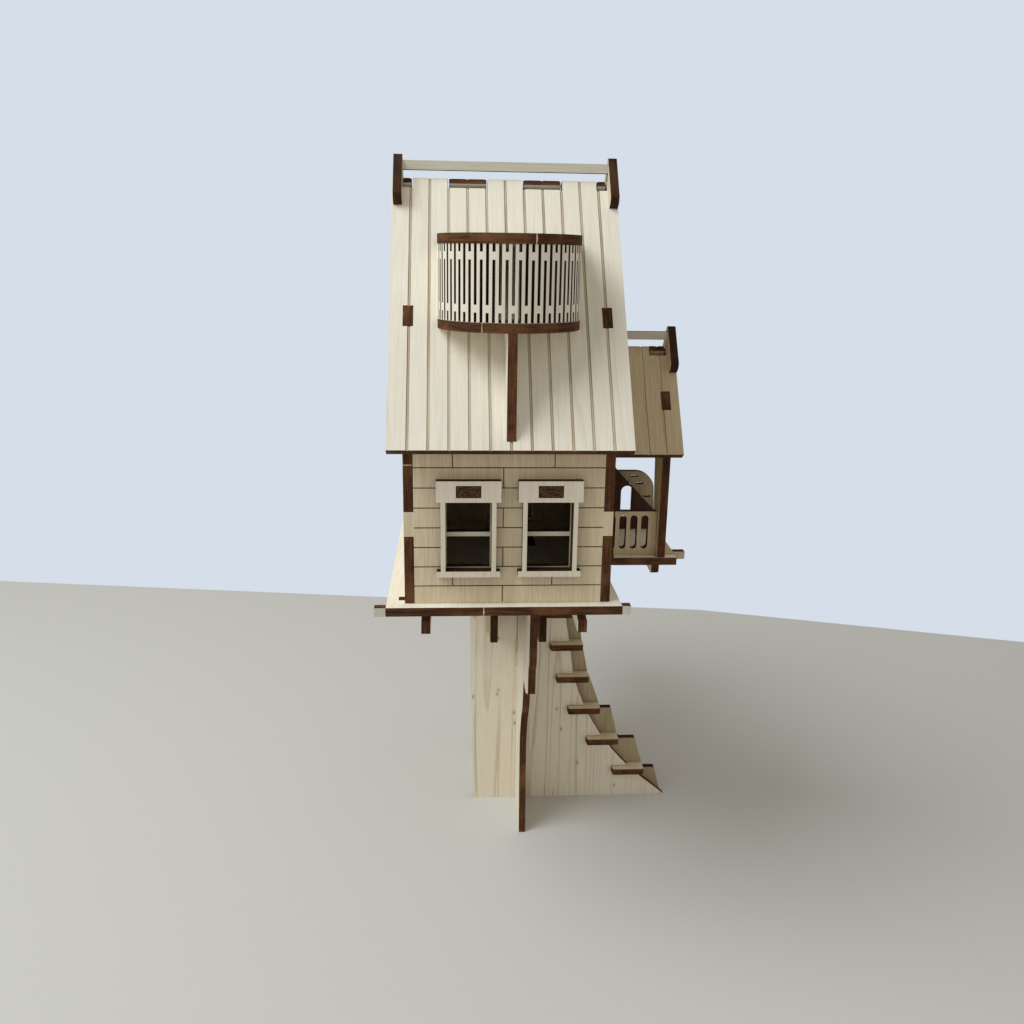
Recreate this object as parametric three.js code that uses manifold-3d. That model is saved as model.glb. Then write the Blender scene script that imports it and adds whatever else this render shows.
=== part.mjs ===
// A tree house cut from 3 mm plywood: a small gabled house with a bay on its roof and a covered porch,
// on a deck carried by a trunk of crossed plates, with an open stair climbing the trunk.
// X runs to the right of the front wall, Y from the deck's front edge towards the back and Z up from the
// ground. X = 0 is the middle of the house. All sizes are in millimetres.
import * as THREE from 'three';
import { mergeVertices } from 'three/addons/utils/BufferGeometryUtils.js';
import Module from 'manifold-3d';

const wasm = await Module();
wasm.setup();

// ---- Driving dimensions ----
const PLY = 3;
const GAP = 0.2; // clearance round a tab in its slot
const SEAT = 0.1; // clearance where one plate rests on another
const FAR = 400; // longer than any piece, for cutting tools

const DECK_TOP = 144;
const DECK_BOTTOM = DECK_TOP - PLY;
const DECK = { left: -40.2, right: 37.8, front: 0, back: 220 };
const PEG = { left: 3.8, right: 2.9 };

const HOUSE = { half: 34.1, front: 4, back: 106, wallTop: 59, sideTab: [23.1, 31.4] };
const HOUSE_MID = (HOUSE.front + HOUSE.back) / 2;

const PITCH = THREE.MathUtils.degToRad(55);
const MAIN_ROOF = { eaveY: -4, eaveZ: 53.3, mid: HOUSE_MID, left: -38.75, right: 38.75 };
const PORCH_ROOF = { eaveY: 45, eaveZ: 41.7, mid: 71.5, left: 34.3, right: 66.8 };
const RIDGE_END = 1.1; // a finger stops this far short of the apex, along the slope
const RIDGE_NOTCH = 5; // and a notch this far
const HORNS = [-38.2, 35.7]; // left side of each horn on the main ridge
const HORN_BAND = 4.4;
const HORN_LEG = 12.4;
const BAR_RISE = 3.2; // ridge bar's centre above the apex

const GROOVE_DEPTH = 0.3;
const PLANK_PITCH = 6.458;
const SEAM_WIDTH = 0.9;
const SIDING = { pitch: 6.65, first: 5.95, line: 0.35, joint: 16.4, offset: -2.1 };

const WINDOW = { x: 13.2, sill: 11.4, width: 14.9, height: 23.2 };
const TRIM = { capWidth: 20.9, capHeight: 7, jamb: 1.5, sillWidth: 20.6, sillHeight: 2, lift: 0.7 };
const PEG_HOLE = { width: 7.7, height: 3.6 };
const DOOR = { width: 18, height: 35, sill: 1.6, play: 0.4 };
const DOOR_PIVOT = { out: 1.3, inset: 1.4, barrel: 1.5, pin: 0.7 };
const PORCH_DOOR = { middle: [HOUSE.half, 71.5], turn: 0 };
const BACK_DOOR = { middle: [7.6, HOUSE.back], turn: Math.PI / 2 };

const BAY = { radius: 23, axisY: 21.5, floor: 88.6, top: 114.7, bracketFoot: -2.4 };
const SCREEN = { radius: 22.7, slots: 35, slotWidth: 0.95 };
const BRIDGES = { low: [0.125, 0.225], high: [0.8, 0.9] }; // where slots are left uncut, by share of height

const PORCH = { left: 38, right: 68, front: 50.3, back: 96, railTop: 17.4, end: 60.3 };
const PORCH_TABS = [[58, 68], [74, 84]];
const PORCH_TAB_DEPTH = 5;
const POST_TAB = [51.6, 53.6];
const RAIL = { slot: 2.8, pitch: 4.25, bottom: 2.4, top: 15.9 };

const FACE_Y = 112.5; // front of the trunk's face plate
const REAR_Y = 158; // front of the trunk's rear plate
const CROSS_X = 11.5; // left side of the trunk's cross plate
const LAP_HEIGHT = 70; // the trunk plates are slotted into each other up to this height
const STRINGER_FRONT = FACE_Y + PLY + 0.3;
const STRINGER_REAR = 129;
const TREAD = { run: 15.2, front: 109, back: STRINGER_REAR + PLY };
const TREADS = [
  { left: 58.7, top: 16.1, ledge: 6.6 },
  { left: 45.6, top: 32.5, ledge: 9.2 },
  { left: 36.1, top: 49, ledge: 6.2 },
  { left: 30.1, top: 65.5, ledge: 1.2 },
  { left: 26.8, top: 81.8, ledge: 0.6 },
  { left: 24.6, top: 98.2, ledge: 0.4 },
  { left: 23, top: 114.6, ledge: 0.4 },
  { left: 21.8, top: 131, ledge: 0.4 },
];

// ---- Materials ----
const birch = new THREE.MeshStandardMaterial({ color: 0xe3d3b4, roughness: 0.75, metalness: 0 });
const shadedBirch = new THREE.MeshStandardMaterial({ color: 0xcdb994, roughness: 0.8, metalness: 0 });
const darkBirch = new THREE.MeshStandardMaterial({ color: 0x6b4a33, roughness: 0.8, metalness: 0 });

// ---- Solids and cuts ----
const house = new THREE.Group();

function toManifold(geometry) {
  const bare = geometry.clone();
  bare.deleteAttribute('normal');
  bare.deleteAttribute('uv');
  const merged = mergeVertices(bare);
  const vertProperties = new Float32Array(merged.attributes.position.array);
  const triVerts = new Uint32Array(merged.index.array);
  return new wasm.Manifold(new wasm.Mesh({ numProp: 3, vertProperties, triVerts }));
}

function toGeometry(solid) {
  const mesh = solid.getMesh();
  const geometry = new THREE.BufferGeometry();
  geometry.setAttribute('position', new THREE.BufferAttribute(mesh.vertProperties, 3));
  geometry.setIndex(new THREE.BufferAttribute(mesh.triVerts, 1));
  return geometry;
}

function cut(geometry, tools) {
  const solid = tools.reduce((left, tool) => left.subtract(toManifold(tool)), toManifold(geometry));
  return toGeometry(solid);
}

function join(geometry, others) {
  const solid = others.reduce((left, other) => left.add(toManifold(other)), toManifold(geometry));
  return toGeometry(solid);
}

function box([x0, y0, z0], [x1, y1, z1]) {
  const geometry = new THREE.BoxGeometry(x1 - x0, y1 - y0, z1 - z0);
  return geometry.translate((x0 + x1) / 2, (y0 + y1) / 2, (z0 + z1) / 2);
}

// ---- Outlines ----
const rectangle = (x0, y0, x1, y1) => [[x0, y0], [x1, y0], [x1, y1], [x0, y1]];
const toShape = (points) => new THREE.Shape(points.map(([x, y]) => new THREE.Vector2(x, y)));

function curvePoints(points, steps) {
  const knots = points.map(([x, y]) => new THREE.Vector3(x, y, 0));
  const curve = new THREE.CatmullRomCurve3(knots, false, 'centripetal');
  return curve.getPoints(steps).map((point) => [point.x, point.y]);
}

function arcPoints(cx, cy, radius, from, to, steps) {
  return Array.from({ length: steps + 1 }, (_, i) => {
    const angle = from + ((to - from) * i) / steps;
    return [cx + radius * Math.cos(angle), cy + radius * Math.sin(angle)];
  });
}

// A slot with round ends, or an opening with a round head and a square foot.
function roundSlot(cx, bottom, top, width) {
  const radius = width / 2;
  const head = arcPoints(cx, top - radius, radius, 0, Math.PI, 6);
  return [...head, ...arcPoints(cx, bottom + radius, radius, Math.PI, 2 * Math.PI, 6)];
}

function archOpening(cx, bottom, top, width) {
  const radius = width / 2;
  const head = arcPoints(cx, top - radius, radius, 0, Math.PI, 10);
  return [[cx - radius, bottom], [cx + radius, bottom], ...head];
}

// ---- Plates ----
// A plate is an outline, cut from the sheet. "front" plates stand across the house and are given by x and
// z, "side" plates run front to back and are given by y and z, and "floor" plates lie flat and are given by
// x and y. A plate starts at `at`: the y of a front plate's front, the x of a side plate's left or the z of
// a floor's underside.
const UP = new THREE.Vector3(0, 0, 1);
const RIGHT = new THREE.Vector3(1, 0, 0);
const BACK = new THREE.Vector3(0, 1, 0);
const STANDS = {
  front: {
    turn: new THREE.Matrix4().makeBasis(RIGHT, UP, BACK.clone().negate()),
    place: (at) => [0, at + PLY, 0],
  },
  side: { turn: new THREE.Matrix4().makeBasis(BACK, UP, RIGHT), place: (at) => [at, 0, 0] },
  floor: { turn: new THREE.Matrix4(), place: (at) => [0, 0, at] },
};

function prism(points, z0, z1) {
  const settings = { depth: z1 - z0, bevelEnabled: false };
  return new THREE.ExtrudeGeometry(toShape(points), settings).translate(0, 0, z0);
}

function sheet(outline, { holes = [], grooves = [], grooveFace = PLY, tools = [] } = {}) {
  const openings = holes.map((hole) => prism(hole, -1, PLY + 1));
  const lines = grooves.map(([x0, y0, x1, y1]) => box(
    [x0, y0, grooveFace - GROOVE_DEPTH],
    [x1, y1, grooveFace + GROOVE_DEPTH],
  ));
  return cut(prism(outline, 0, PLY), [...openings, ...lines, ...tools]);
}

function addMesh(name, geometry, material = birch, parent = house) {
  const mesh = new THREE.Mesh(geometry, material);
  mesh.name = name;
  parent.add(mesh);
  return mesh;
}

function addPlate(name, kind, at, outline, options = {}) {
  const mesh = addMesh(name, sheet(outline, options), options.material);
  mesh.quaternion.setFromRotationMatrix(STANDS[kind].turn);
  mesh.position.set(...STANDS[kind].place(at));
  return mesh;
}

const lift = (points, height = DECK_TOP) => points.map(([x, z]) => [x, z + height]);

// ---- Trunk and stair ----
const TRUNK_TABS = [[-6, 4], [19, 29]];

// The plates across the trunk are slotted from the top and the cross plate from below, to push together.
function trunkPlate(name, at, left, right, tools) {
  const outline = [...right.slice().reverse(), ...left.slice().reverse()];
  const lapSlot = box([CROSS_X - GAP, LAP_HEIGHT, -1], [CROSS_X + PLY + GAP, FAR, PLY + 1]);
  const tabs = TRUNK_TABS.map(([x0, x1]) => box([x0, DECK_BOTTOM - 1, 0], [x1, DECK_TOP - SEAT, PLY]));
  const mesh = addMesh(name, join(cut(sheet(outline), [...tools, lapSlot]), tabs));
  mesh.quaternion.setFromRotationMatrix(STANDS.front.turn);
  mesh.position.set(...STANDS.front.place(at));
}

function trunkPlates() {
  const top = DECK_BOTTOM - SEAT;
  const faceRight = curvePoints([
    [33.2, top], [33.9, 94], [36.3, 80], [38.4, 65], [44.1, 48.9], [53.7, 31.7], [66.5, 16.2], [85.2, 0],
  ], 22);
  const treadNotches = TREADS.map(({ left, top: z }) => box(
    [left - GAP, z - PLY - GAP, -1],
    [FAR, z + GAP, PLY + 1],
  ));
  trunkPlate('trunk_face_plate', FACE_Y, [[-8.7, 0], [-10.5, 93], [-11.2, top]], faceRight, treadNotches);
  const rearRight = curvePoints([[32, top], [33, 92], [36.5, 63], [46, 29], [62, 0]], 14);
  trunkPlate('trunk_rear_plate', REAR_Y, [[-7, 0], [-8.4, 93], [-9, top]], rearRight, []);
}

const CROSS_TABS = [[66, 80], [168, 182]];
const BARK_LINE = [71.4, 85, 71.9, 94];

// In front the plate is like a limb that leaves the trunk: it overhangs the root and ends in a hook.
function trunkCrossPlate() {
  const top = DECK_BOTTOM - SEAT;
  const root = curvePoints([
    [84, 0], [85.6, 12], [87.6, 30], [88, 46], [83.3, 58.2], [76.6, 68], [74, 81.5],
  ], 24);
  const limb = [[62, 81.5], [52, 86], [51.4, 97], [48.4, 100.5], [48, 118], [49.6, top]];
  const back = curvePoints([
    [194, top], [186, 122], [178, 98], [175, 70], [177, 42], [185, 18], [202, 0],
  ], 24);
  const tabTops = CROSS_TABS.flatMap(([y0, y1]) => [
    [y0, top], [y0, DECK_TOP - SEAT], [y1, DECK_TOP - SEAT], [y1, top],
  ]);
  const lapSlots = [FACE_Y, REAR_Y].map((y) => box(
    [y - GAP, -1, -1],
    [y + PLY + GAP, LAP_HEIGHT + GAP, PLY + 1],
  ));
  addPlate('trunk_cross_plate', 'side', CROSS_X, [...root, ...limb, ...tabTops, ...back], {
    tools: lapSlots, grooves: [BARK_LINE], grooveFace: 0,
  });
}

// Each tread rests on a ledge, and the edge then slants down to the next tread.
function stringerEdge(ledgeScale, inset) {
  return TREADS.flatMap(({ left, top, ledge }) => {
    const right = left + TREAD.run - inset;
    return [
      [right + ledge * ledgeScale, top - PLY - GAP],
      [left - GAP, top - PLY - GAP],
      [left - GAP, top + GAP],
      [right, top + GAP],
    ];
  });
}

const STRINGER_TAB = [19.5, 30];

function stringer(name, at, ledgeScale, inset, material) {
  const top = DECK_BOTTOM - SEAT;
  const foot = TREADS[0].left + TREAD.run + TREADS[0].ledge * ledgeScale - inset + 3.5;
  const outline = [
    [30, 0], [foot, 0], ...stringerEdge(ledgeScale, inset), [36.5 - inset, top],
    [STRINGER_TAB[1], top], [STRINGER_TAB[1], DECK_TOP - SEAT],
    [STRINGER_TAB[0], DECK_TOP - SEAT], [STRINGER_TAB[0], top],
    [16, top], [16, 70],
  ];
  addPlate(name, 'front', at, outline, { material });
}

function stair() {
  stringer('stair_stringer_front', STRINGER_FRONT, 1, 0, shadedBirch);
  stringer('stair_stringer_rear', STRINGER_REAR, 0, 3, birch);
  TREADS.forEach(({ left, top }, i) => {
    const nose = 0.7;
    const outline = [
      [left, TREAD.front + nose], [left + nose, TREAD.front], [left + TREAD.run - nose, TREAD.front],
      [left + TREAD.run, TREAD.front + nose], [left + TREAD.run, TREAD.back], [left, TREAD.back],
    ];
    addPlate(`stair_tread_${i + 1}`, 'floor', top - PLY, outline);
  });
}

// ---- Deck and what carries it ----
const JOIST_X = { left: -28.7, right: 23.3 };
const JOIST_DEPTH = 6.4;
const BEAM = { front: 7.2, depth: 2.6, tab: [-36.2, -34.4] };
const WALL_TABS = [[20, 30], [88, 98]];
const HATCH = { left: 18.6, right: 36, front: STRINGER_FRONT + PLY + 0.5, back: STRINGER_REAR - 0.5 };

// A joist has a short nose that reaches forward under the deck's front edge, a little below it.
function joist(name, x, back, depth) {
  const top = DECK_BOTTOM - SEAT;
  const bottom = DECK_BOTTOM - depth;
  const nose = { front: 0.5, top: bottom + 3.8 };
  const neck = 4.8;
  const toe = [
    [neck, top - 1.6], [nose.front + 0.8, nose.top + 0.3], [nose.front, nose.top], [nose.front, bottom],
  ];
  const notchBack = BEAM.front + PLY + GAP;
  const notchFront = BEAM.front - GAP;
  const notchFloor = DECK_BOTTOM - BEAM.depth - GAP;
  const notch = [[notchBack, top], [notchBack, notchFloor], [notchFront, notchFloor], [notchFront, top]];
  addPlate(name, 'side', x, [...toe, [back, bottom], [back, top], ...notch, [neck, top]]);
}

function corbel(name, x) {
  const nose = arcPoints(61.2, 105.8, 1.2, Math.PI, 1.5 * Math.PI, 4);
  const back = FACE_Y - GAP;
  addPlate(name, 'side', x, [
    [60, DECK_BOTTOM - SEAT], ...nose, [74, 103], [back, 88], [back, DECK_BOTTOM - SEAT],
  ], { material: shadedBirch });
}

function crossBeam() {
  const under = DECK_BOTTOM - BEAM.depth;
  const [x0, x1] = BEAM.tab;
  addPlate('deck_cross_beam', 'front', BEAM.front, [
    [x0, under], [33, under], [33, DECK_BOTTOM - SEAT], [x1, DECK_BOTTOM - SEAT],
    [x1, DECK_TOP - SEAT], [x0, DECK_TOP - SEAT],
  ]);
}

function grown([x0, y0, x1, y1]) {
  return rectangle(x0 - GAP, y0 - GAP, x1 + GAP, y1 + GAP);
}

// A door's own frame has its middle on the wall's outer face, x outwards and y along the wall.
function placedAtDoor({ middle: [x, y], turn }, points) {
  const origin = new THREE.Vector2();
  const middle = new THREE.Vector2(x, y);
  return points.map(([u, v]) => new THREE.Vector2(u, v).rotateAround(origin, turn).add(middle).toArray());
}

const PIN_AT = [DOOR_PIVOT.out, -DOOR.width / 2 + DOOR_PIVOT.inset];
const PIN_PLAY = 0.05;
const PIN_SIDES = 16;

function pinHole(door) {
  const lastAngle = (2 * Math.PI * (PIN_SIDES - 1)) / PIN_SIDES;
  return placedAtDoor(door, arcPoints(...PIN_AT, DOOR_PIVOT.pin + PIN_PLAY, 0, lastAngle, PIN_SIDES - 1));
}

function mainDeck() {
  const innerEdge = DECK.right - PORCH_TAB_DEPTH - GAP;
  const notches = PORCH_TABS.flatMap(([y0, y1]) => [
    [DECK.right, y0 - GAP], [innerEdge, y0 - GAP], [innerEdge, y1 + GAP], [DECK.right, y1 + GAP],
  ]);
  const outline = [
    [DECK.left, DECK.front], [DECK.right, DECK.front], ...notches,
    [DECK.right, DECK.back], [DECK.left, DECK.back],
  ];
  const wallX = HOUSE.half - PLY;
  const holes = [
    ...WALL_TABS.map(([y0, y1]) => grown([-HOUSE.half, y0, -wallX, y1])),
    ...WALL_TABS.map(([y0, y1]) => grown([wallX, y0, HOUSE.half, y1])),
    ...CROSS_TABS.map(([y0, y1]) => grown([CROSS_X, y0, CROSS_X + PLY, y1])),
    grown([TRUNK_TABS[0][0], FACE_Y, TRUNK_TABS[0][1], FACE_Y + PLY]),
    ...TRUNK_TABS.map(([x0, x1]) => grown([x0, REAR_Y, x1, REAR_Y + PLY])),
    rectangle(TRUNK_TABS[1][0] - GAP, FACE_Y - GAP, STRINGER_TAB[1] + GAP, STRINGER_FRONT + PLY + GAP),
    grown([STRINGER_TAB[0], STRINGER_REAR, STRINGER_TAB[1], STRINGER_REAR + PLY]),
    rectangle(HATCH.left, HATCH.front, HATCH.right, HATCH.back),
    grown([BEAM.tab[0], BEAM.front, BEAM.tab[1], BEAM.front + PLY]),
    pinHole(BACK_DOOR),
  ];
  addPlate('main_deck', 'floor', DECK_BOTTOM, outline, { holes });
}

const PORCH_JOIST_X = 59;

function porchDeck() {
  const tabEnd = DECK.right - PORCH_TAB_DEPTH;
  const tabs = PORCH_TABS.slice().reverse().flatMap(([y0, y1]) => [
    [PORCH.left, y1], [tabEnd, y1], [tabEnd, y0], [PORCH.left, y0],
  ]);
  addPlate('porch_deck', 'floor', DECK_BOTTOM, [
    [PORCH.left, PORCH.front], [PORCH.right, PORCH.front],
    [PORCH.right, PORCH.back], [PORCH.left, PORCH.back], ...tabs,
  ], { holes: [grown([PORCH.end, POST_TAB[0], PORCH.end + PLY, POST_TAB[1]]), pinHole(PORCH_DOOR)] });
  const top = DECK_BOTTOM - SEAT;
  addPlate('porch_joist', 'side', PORCH_JOIST_X, [
    [53.5, top], [53.5, 137.6], [54.6, 136.4], [70, 137.4], [94, 137.4], [94, top],
  ]);
}

function cornerPegs() {
  const left = rectangle(DECK.left - PEG.left, DECK_BOTTOM, DECK.left - SEAT, DECK_TOP);
  const right = rectangle(DECK.right + SEAT, DECK_BOTTOM, DECK.right + PEG.right, DECK_TOP);
  addPlate('deck_corner_peg_left', 'front', DECK.front, left);
  addPlate('deck_corner_peg_right', 'front', DECK.front, right);
}

// ---- Roof geometry shared by walls, panels and horns ----
const apexOf = (roof) => roof.eaveZ + (roof.mid - roof.eaveY) * Math.tan(PITCH);
const slopeLength = (roof) => (roof.mid - roof.eaveY) / Math.cos(PITCH);

// A point `along` the slope from the eave and `out` from the outer face, as y and height above the deck.
function onRoof(roof, along, out) {
  return [
    roof.eaveY + along * Math.cos(PITCH) - out * Math.sin(PITCH),
    roof.eaveZ + along * Math.sin(PITCH) + out * Math.cos(PITCH),
  ];
}

const mirrored = (roof, points) => points.map(([y, z]) => [2 * roof.mid - y, z]).reverse();

// ---- House walls ----
function sidingLines(left, right, top, lines = []) {
  for (let row = 0; SIDING.first + row * SIDING.pitch < top; row += 1) {
    const z = SIDING.first + row * SIDING.pitch;
    lines.push([left, z, right, z + SIDING.line]);
    const from = row % 2 === 0 ? SIDING.offset : SIDING.offset - SIDING.joint;
    const middle = (left + right) / 2;
    const span = 2 * SIDING.joint;
    const first = Math.ceil((left + 2 - middle - from) / span);
    for (let x = middle + from + first * span; x < right - 2; x += span) {
      lines.push([x, Math.max(z - SIDING.pitch, 0) + SIDING.line, x + SIDING.line, z]);
    }
  }
  return lines;
}

const raised = (lines) => lines.map(([x0, z0, x1, z1]) => [x0, z0 + DECK_TOP, x1, z1 + DECK_TOP]);

function crossWallOutline() {
  const inner = HOUSE.half - PLY - GAP;
  const [tabLow, tabHigh] = HOUSE.sideTab;
  const right = [
    [inner, SEAT], [inner, tabLow], [HOUSE.half, tabLow],
    [HOUSE.half, tabHigh], [inner, tabHigh], [inner, HOUSE.wallTop],
  ];
  const left = right.map(([x, z]) => [-x, z]).reverse();
  return [...right, ...left];
}

const doorway = (x) => rectangle(x - DOOR.width / 2, DOOR.sill, x + DOOR.width / 2, DOOR.height);
const windowHole = (x) => rectangle(
  x - WINDOW.width / 2, WINDOW.sill, x + WINDOW.width / 2, WINDOW.sill + WINDOW.height,
);
const PEG_Z = WINDOW.sill + WINDOW.height + TRIM.lift + TRIM.capHeight / 2;
const pegHole = (x, grow) => rectangle(
  x - PEG_HOLE.width / 2 - grow, PEG_Z - PEG_HOLE.height / 2 - grow,
  x + PEG_HOLE.width / 2 + grow, PEG_Z + PEG_HOLE.height / 2 + grow,
);

function crossWalls() {
  const siding = raised(sidingLines(-HOUSE.half + PLY + GAP, HOUSE.half - PLY - GAP, HOUSE.wallTop));
  const outline = lift(crossWallOutline());
  const windows = [-WINDOW.x, WINDOW.x].flatMap((x) => [lift(windowHole(x)), lift(pegHole(x, GAP))]);
  addPlate('front_wall', 'front', HOUSE.front, outline, { holes: windows, grooves: siding });
  addPlate('back_wall', 'front', HOUSE.back - PLY, outline, {
    holes: [lift(doorway(BACK_DOOR.middle[0]))], grooves: siding, grooveFace: 0,
  });
}

const ROOF_TAB = [43.7, 51];

function gableOutline() {
  const under = -PLY - SEAT;
  const low = onRoof(MAIN_ROOF, 0, under);
  const wallTop = low[1] + (HOUSE.front - low[0]) * Math.tan(PITCH);
  const [tabLow, tabHigh] = HOUSE.sideTab;
  const slope = [
    [HOUSE.front, wallTop],
    onRoof(MAIN_ROOF, ROOF_TAB[0], under), onRoof(MAIN_ROOF, ROOF_TAB[0], -SEAT),
    onRoof(MAIN_ROOF, ROOF_TAB[1], -SEAT), onRoof(MAIN_ROOF, ROOF_TAB[1], under),
  ];
  const notch = [
    [HOUSE.front, tabLow - GAP], [HOUSE.front + PLY + GAP, tabLow - GAP],
    [HOUSE.front + PLY + GAP, tabHigh + GAP], [HOUSE.front, tabHigh + GAP],
  ];
  const frontHalf = [[HOUSE.front, SEAT], ...notch, ...slope];
  const apex = [HOUSE_MID, low[1] + (HOUSE_MID - low[0]) * Math.tan(PITCH)];
  const feet = WALL_TABS.slice().reverse().flatMap(([y0, y1]) => [
    [y1, SEAT], [y1, -PLY], [y0, -PLY], [y0, SEAT],
  ]);
  return [...frontHalf, apex, ...mirrored(MAIN_ROOF, frontHalf), ...feet];
}

const GABLE_WINDOW_Y = 27;

function gableWalls() {
  const siding = raised(sidingLines(HOUSE.front, HOUSE.back, apexOf(MAIN_ROOF)));
  const outline = lift(gableOutline());
  addPlate('gable_wall_left', 'side', -HOUSE.half, outline, { grooves: siding, grooveFace: 0 });
  const openings = [windowHole(GABLE_WINDOW_Y), pegHole(GABLE_WINDOW_Y, GAP), doorway(PORCH_DOOR.middle[1])];
  addPlate('gable_wall_right', 'side', HOUSE.half - PLY, outline, {
    holes: openings.map((hole) => lift(hole)), grooves: siding,
  });
}

// ---- Windows ----
function trimOutline(x) {
  const jamb = WINDOW.width / 2 + TRIM.jamb;
  const capBottom = WINDOW.sill + WINDOW.height + TRIM.lift;
  const sillTop = WINDOW.sill + TRIM.lift;
  const right = [
    [TRIM.sillWidth / 2, sillTop - TRIM.sillHeight], [TRIM.sillWidth / 2, sillTop], [jamb, sillTop],
    [jamb, capBottom], [TRIM.capWidth / 2, capBottom], [TRIM.capWidth / 2, capBottom + TRIM.capHeight],
  ];
  const left = right.map(([dx, z]) => [-dx, z]).reverse();
  return [...right, ...left].map(([dx, z]) => [x + dx, z]);
}

const trimOpening = (x) => windowHole(x).map(([edge, z]) => [edge, z + TRIM.lift]);

function sashHoles(x) {
  const lip = 0.3; // how far the sash shows inside the hole in the wall
  const halfRail = 0.75;
  const half = WINDOW.width / 2 - lip;
  const low = WINDOW.sill + lip;
  const high = WINDOW.sill + WINDOW.height - lip;
  const rail = (low + high) / 2;
  return [
    rectangle(x - half, low, x + half, rail - halfRail),
    rectangle(x - half, rail + halfRail, x + half, high),
  ];
}

// The trim is on the wall's outer face, the sash on its inner face, and the peg goes through trim and wall.
function windowSet(name, kind, x, trimAt, sashAt, pegAt) {
  addPlate(`window_trim_${name}`, kind, trimAt, lift(trimOutline(x)), {
    holes: [lift(trimOpening(x)), lift(pegHole(x, GAP))],
  });
  const border = 1.6;
  const half = WINDOW.width / 2 + border;
  const frame = rectangle(x - half, WINDOW.sill - border, x + half, WINDOW.sill + WINDOW.height + border);
  const panes = sashHoles(x).map((hole) => lift(hole));
  addPlate(`window_sash_${name}`, kind, sashAt, lift(frame), { holes: panes });
  const mesh = addMesh(`window_peg_${name}`, prism(lift(pegHole(x, 0)), 0, 2 * PLY + SEAT), darkBirch);
  mesh.quaternion.setFromRotationMatrix(STANDS[kind].turn);
  mesh.position.set(...STANDS[kind].place(pegAt));
}

function windows() {
  const front = HOUSE.front;
  windowSet('front_left', 'front', -WINDOW.x, front - PLY - SEAT, front + PLY + SEAT, front);
  windowSet('front_right', 'front', WINDOW.x, front - PLY - SEAT, front + PLY + SEAT, front);
  const right = HOUSE.half - PLY;
  windowSet('right', 'side', GABLE_WINDOW_Y, HOUSE.half + SEAT, right - PLY - SEAT, right);
}

// ---- Doors, each turning on two round pins ----
function upright(radius, low, high) {
  return new THREE.CylinderGeometry(radius, radius, high - low, 20)
    .rotateX(Math.PI / 2)
    .translate(...PIN_AT, DECK_TOP + (low + high) / 2);
}

function door(name, place) {
  const [y0, y1] = [-DOOR.width / 2 + DOOR.play, DOOR.width / 2 - 2 * DOOR.play];
  const foot = DOOR.sill + 0.5;
  const leafTop = DOOR.height - DOOR.play;
  const line = 0.5;
  const panels = [[7, 15], [18, 30]].map(([low, high]) => [y0 + 5, low, y1 - 3.5, high]);
  const frames = raised(panels.flatMap(([a, low, b, high]) => [
    [a, low, b, low + line], [a, high, b, high + line],
    [a, low, a + line, high], [b, low, b + line, high + line],
  ]));
  const leaf = sheet(lift(rectangle(y0, foot, y1, leafTop)), { grooves: frames });
  leaf.applyMatrix4(STANDS.side.turn).translate(-PLY, 0, 0);
  const barrel = upright(DOOR_PIVOT.barrel, foot, leafTop);
  const pin = upright(DOOR_PIVOT.pin, -PLY + 0.3, DOOR.height + PLY - 0.4);
  const mesh = addMesh(name, join(leaf, [barrel, pin]), shadedBirch);
  mesh.rotation.z = place.turn;
  mesh.position.set(...place.middle, 0);
  const head = placedAtDoor(place, rectangle(SEAT, PIN_AT[1] - 4, PLY + 0.8, DOOR.width / 2 + 2.6));
  addPlate(`${name}_pivot_head`, 'floor', DECK_TOP + DOOR.height + SEAT, head, { holes: [pinHole(place)] });
}

// ---- Roofs ----
const MAIN_FINGERS = [[-35.2, -31.9], [-19.5, -6.2], [6.2, 19.5], [31.9, 35.2]];
const PORCH_FINGERS = [[57.2, 63.2]];
const GABLE_SLOTS = [[-HOUSE.half, -HOUSE.half + PLY], [HOUSE.half - PLY, HOUSE.half]];

// A panel's outline by x and distance along the slope. Where `fingers` says so it stops short, and
// elsewhere it runs on to the ridge; the opposite panel is the other way round.
function panelOutline(roof, fingers, runsOnInFingers) {
  const long = slopeLength(roof) - RIDGE_END;
  const short = slopeLength(roof) - RIDGE_NOTCH;
  const inFinger = runsOnInFingers ? long : short;
  const between = runsOnInFingers ? short : long;
  const trim = runsOnInFingers ? GAP : -GAP;
  const ridge = fingers.flatMap(([x0, x1]) => [
    [x0 + trim, between], [x0 + trim, inFinger], [x1 - trim, inFinger], [x1 - trim, between],
  ]);
  return [[roof.left, 0], [roof.left, between], ...ridge, [roof.right, between], [roof.right, 0]];
}

function planks(roof) {
  const count = Math.floor((roof.right - roof.left) / PLANK_PITCH - 0.5);
  return Array.from({ length: count }, (_, i) => {
    const x = roof.right - (i + 1) * PLANK_PITCH;
    return [x - SEAM_WIDTH / 2, -1, x + SEAM_WIDTH / 2, slopeLength(roof)];
  });
}

function flipX(rectangles) {
  return rectangles.map(([x0, y0, x1, y1]) => [-x1, y0, -x0, y1]);
}

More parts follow.
